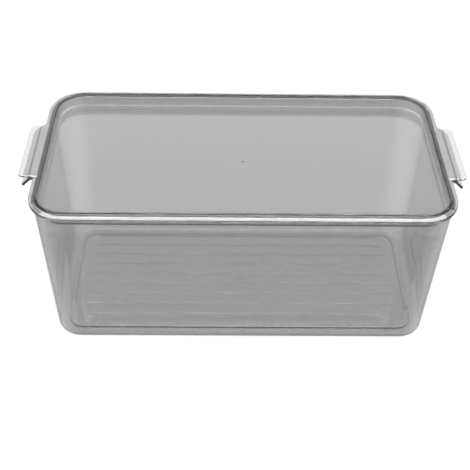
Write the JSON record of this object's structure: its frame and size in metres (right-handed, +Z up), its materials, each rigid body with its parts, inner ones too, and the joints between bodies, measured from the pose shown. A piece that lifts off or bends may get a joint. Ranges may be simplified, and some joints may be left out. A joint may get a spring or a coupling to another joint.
{
  "type": "fridge storage bin",
  "caption": "Clear rectangular fridge storage bin with drafted walls, a ribbed floor, a grip lip at each end and a lift-off lid with a sunk stacking panel.",
  "frame": {"origin": "centre of the footprint, on the surface that the tub stands on", "axes": "+Z up, +X along the bin towards one grip, +Y towards its back long side"},
  "size_m": [0.3432, 0.167, 0.1442],
  "materials": {
    "tub_plastic": "clear moulded plastic with a faint smoke tint, polished",
    "lid_plastic": "clear moulded plastic with a faint smoke tint, polished"
  },
  "bodies": {
    "tub": {"tub": "tub_plastic"},
    "lid": {"lid": "lid_plastic"}
  },
  "joints": [
    {"name": "lid_lift", "type": "slide", "parent": "tub", "child": "lid", "axis": [0, 0, 1], "range_m": [0, 0.06]}
  ]
}
